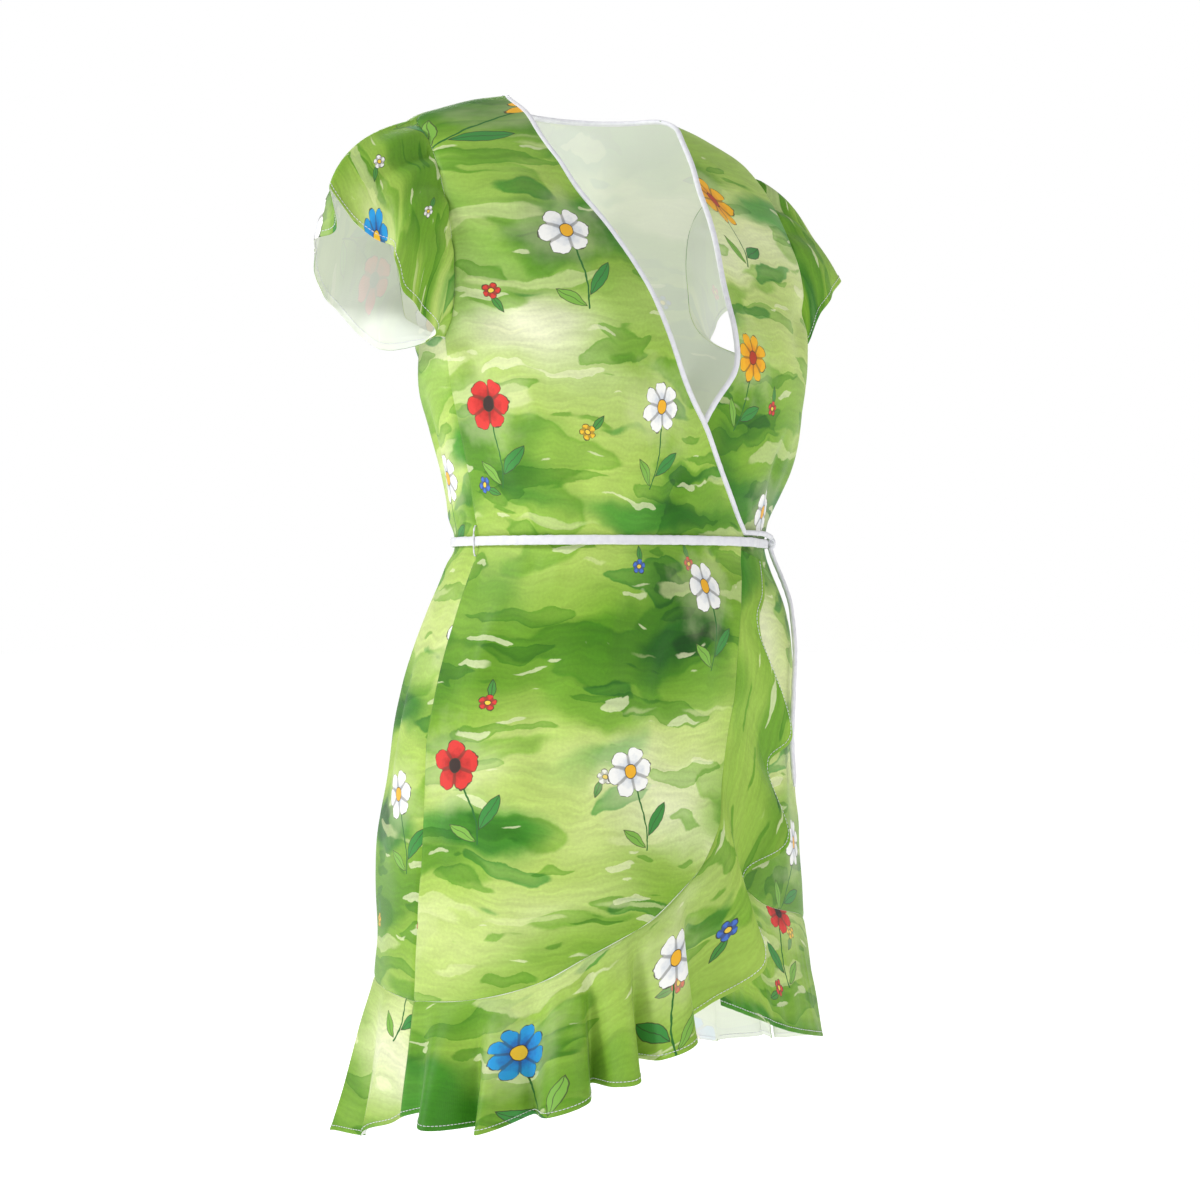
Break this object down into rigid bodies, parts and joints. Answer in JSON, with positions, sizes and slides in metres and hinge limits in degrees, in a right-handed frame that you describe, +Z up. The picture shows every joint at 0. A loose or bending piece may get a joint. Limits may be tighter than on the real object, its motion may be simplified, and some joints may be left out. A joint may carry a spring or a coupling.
{
  "type": "short-sleeved wrap dress",
  "caption": "Short-sleeved wrap dress in its worn shape, with flutter sleeves, a waist tie and a flounce round the hem and up the wrap edge.",
  "frame": {"origin": "midway between the two neck points, at the top of the shoulder seams, where the wearer's shoulders hold the dress up", "axes": "+Z up, -Y towards the front, +X towards the wearer's left"},
  "size_m": [0.5837, 0.4133, 0.9276],
  "materials": {
    "printed_satin": "thin soft satin, printed outside and pale inside",
    "white_satin": "white satin binding and tie"
  },
  "bodies": {
    "root": {"front_right": "printed_satin", "front_left": "printed_satin", "back": "printed_satin", "flounce_over": "printed_satin", "flounce_under": "printed_satin", "flounce_back": "printed_satin", "sleeve_right": "printed_satin", "sleeve_left": "printed_satin", "neck_binding": "white_satin", "waist_tie": "white_satin", "wrap_strap": "white_satin", "tie_knot": "white_satin", "tie_end": "white_satin", "belt_loop_right": "white_satin", "belt_loop_left": "white_satin"}
  },
  "joints": []
}
